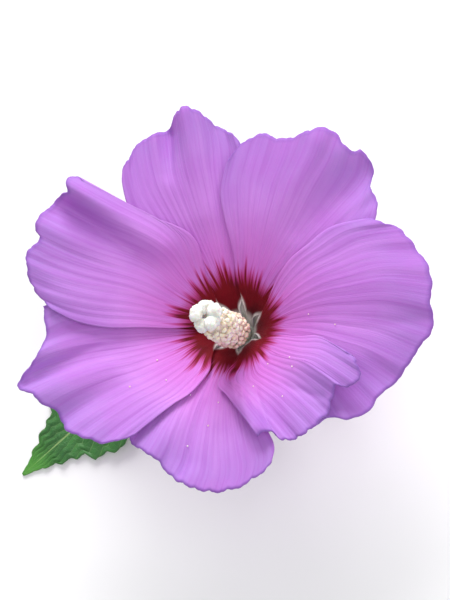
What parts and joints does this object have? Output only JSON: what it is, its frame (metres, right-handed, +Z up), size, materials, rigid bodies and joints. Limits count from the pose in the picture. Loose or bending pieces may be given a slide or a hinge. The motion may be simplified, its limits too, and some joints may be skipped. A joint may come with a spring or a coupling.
{
  "type": "cut rose of sharon flower",
  "caption": "Wide-open rose of sharon bloom with overlapping mauve petals and a crimson eye round a pale column, lying face up on a short cut piece of its stem with a toothed leaf.",
  "frame": {"origin": "middle of the underside of the whole part's box, on the surface that it lies on", "axes": "+Z up out of the open face of the flower, +X to the flower's right and +Y to its top as the picture shows them"},
  "size_m": [0.1126, 0.0922, 0.0506],
  "materials": {
    "petal": "soft satin, mauve with a crimson eye",
    "stamens": "dull cream, powdery",
    "stigmas": "dull white",
    "sepals": "dull green, finely hairy",
    "stalk": "dull green",
    "bark": "dull young bark",
    "leaf": "soft sheen, dark green"
  },
  "bodies": {
    "root": {"petal_right": "petal", "petal_top_right": "petal", "petal_top_left": "petal", "petal_left": "petal", "petal_lower_left": "petal", "petal_bottom": "petal", "petal_lower_right": "petal", "staminal_column": "stamens", "style_and_stigmas": "stigmas", "calyx": "sepals", "epicalyx_bract_1": "sepals", "epicalyx_bract_2": "sepals", "epicalyx_bract_3": "sepals", "epicalyx_bract_4": "sepals", "epicalyx_bract_5": "sepals", "epicalyx_bract_6": "sepals", "epicalyx_bract_7": "sepals", "flower_stalk": "stalk", "twig": "bark", "leaf_blade": "leaf", "leaf_stalk": "stalk"}
  },
  "joints": []
}
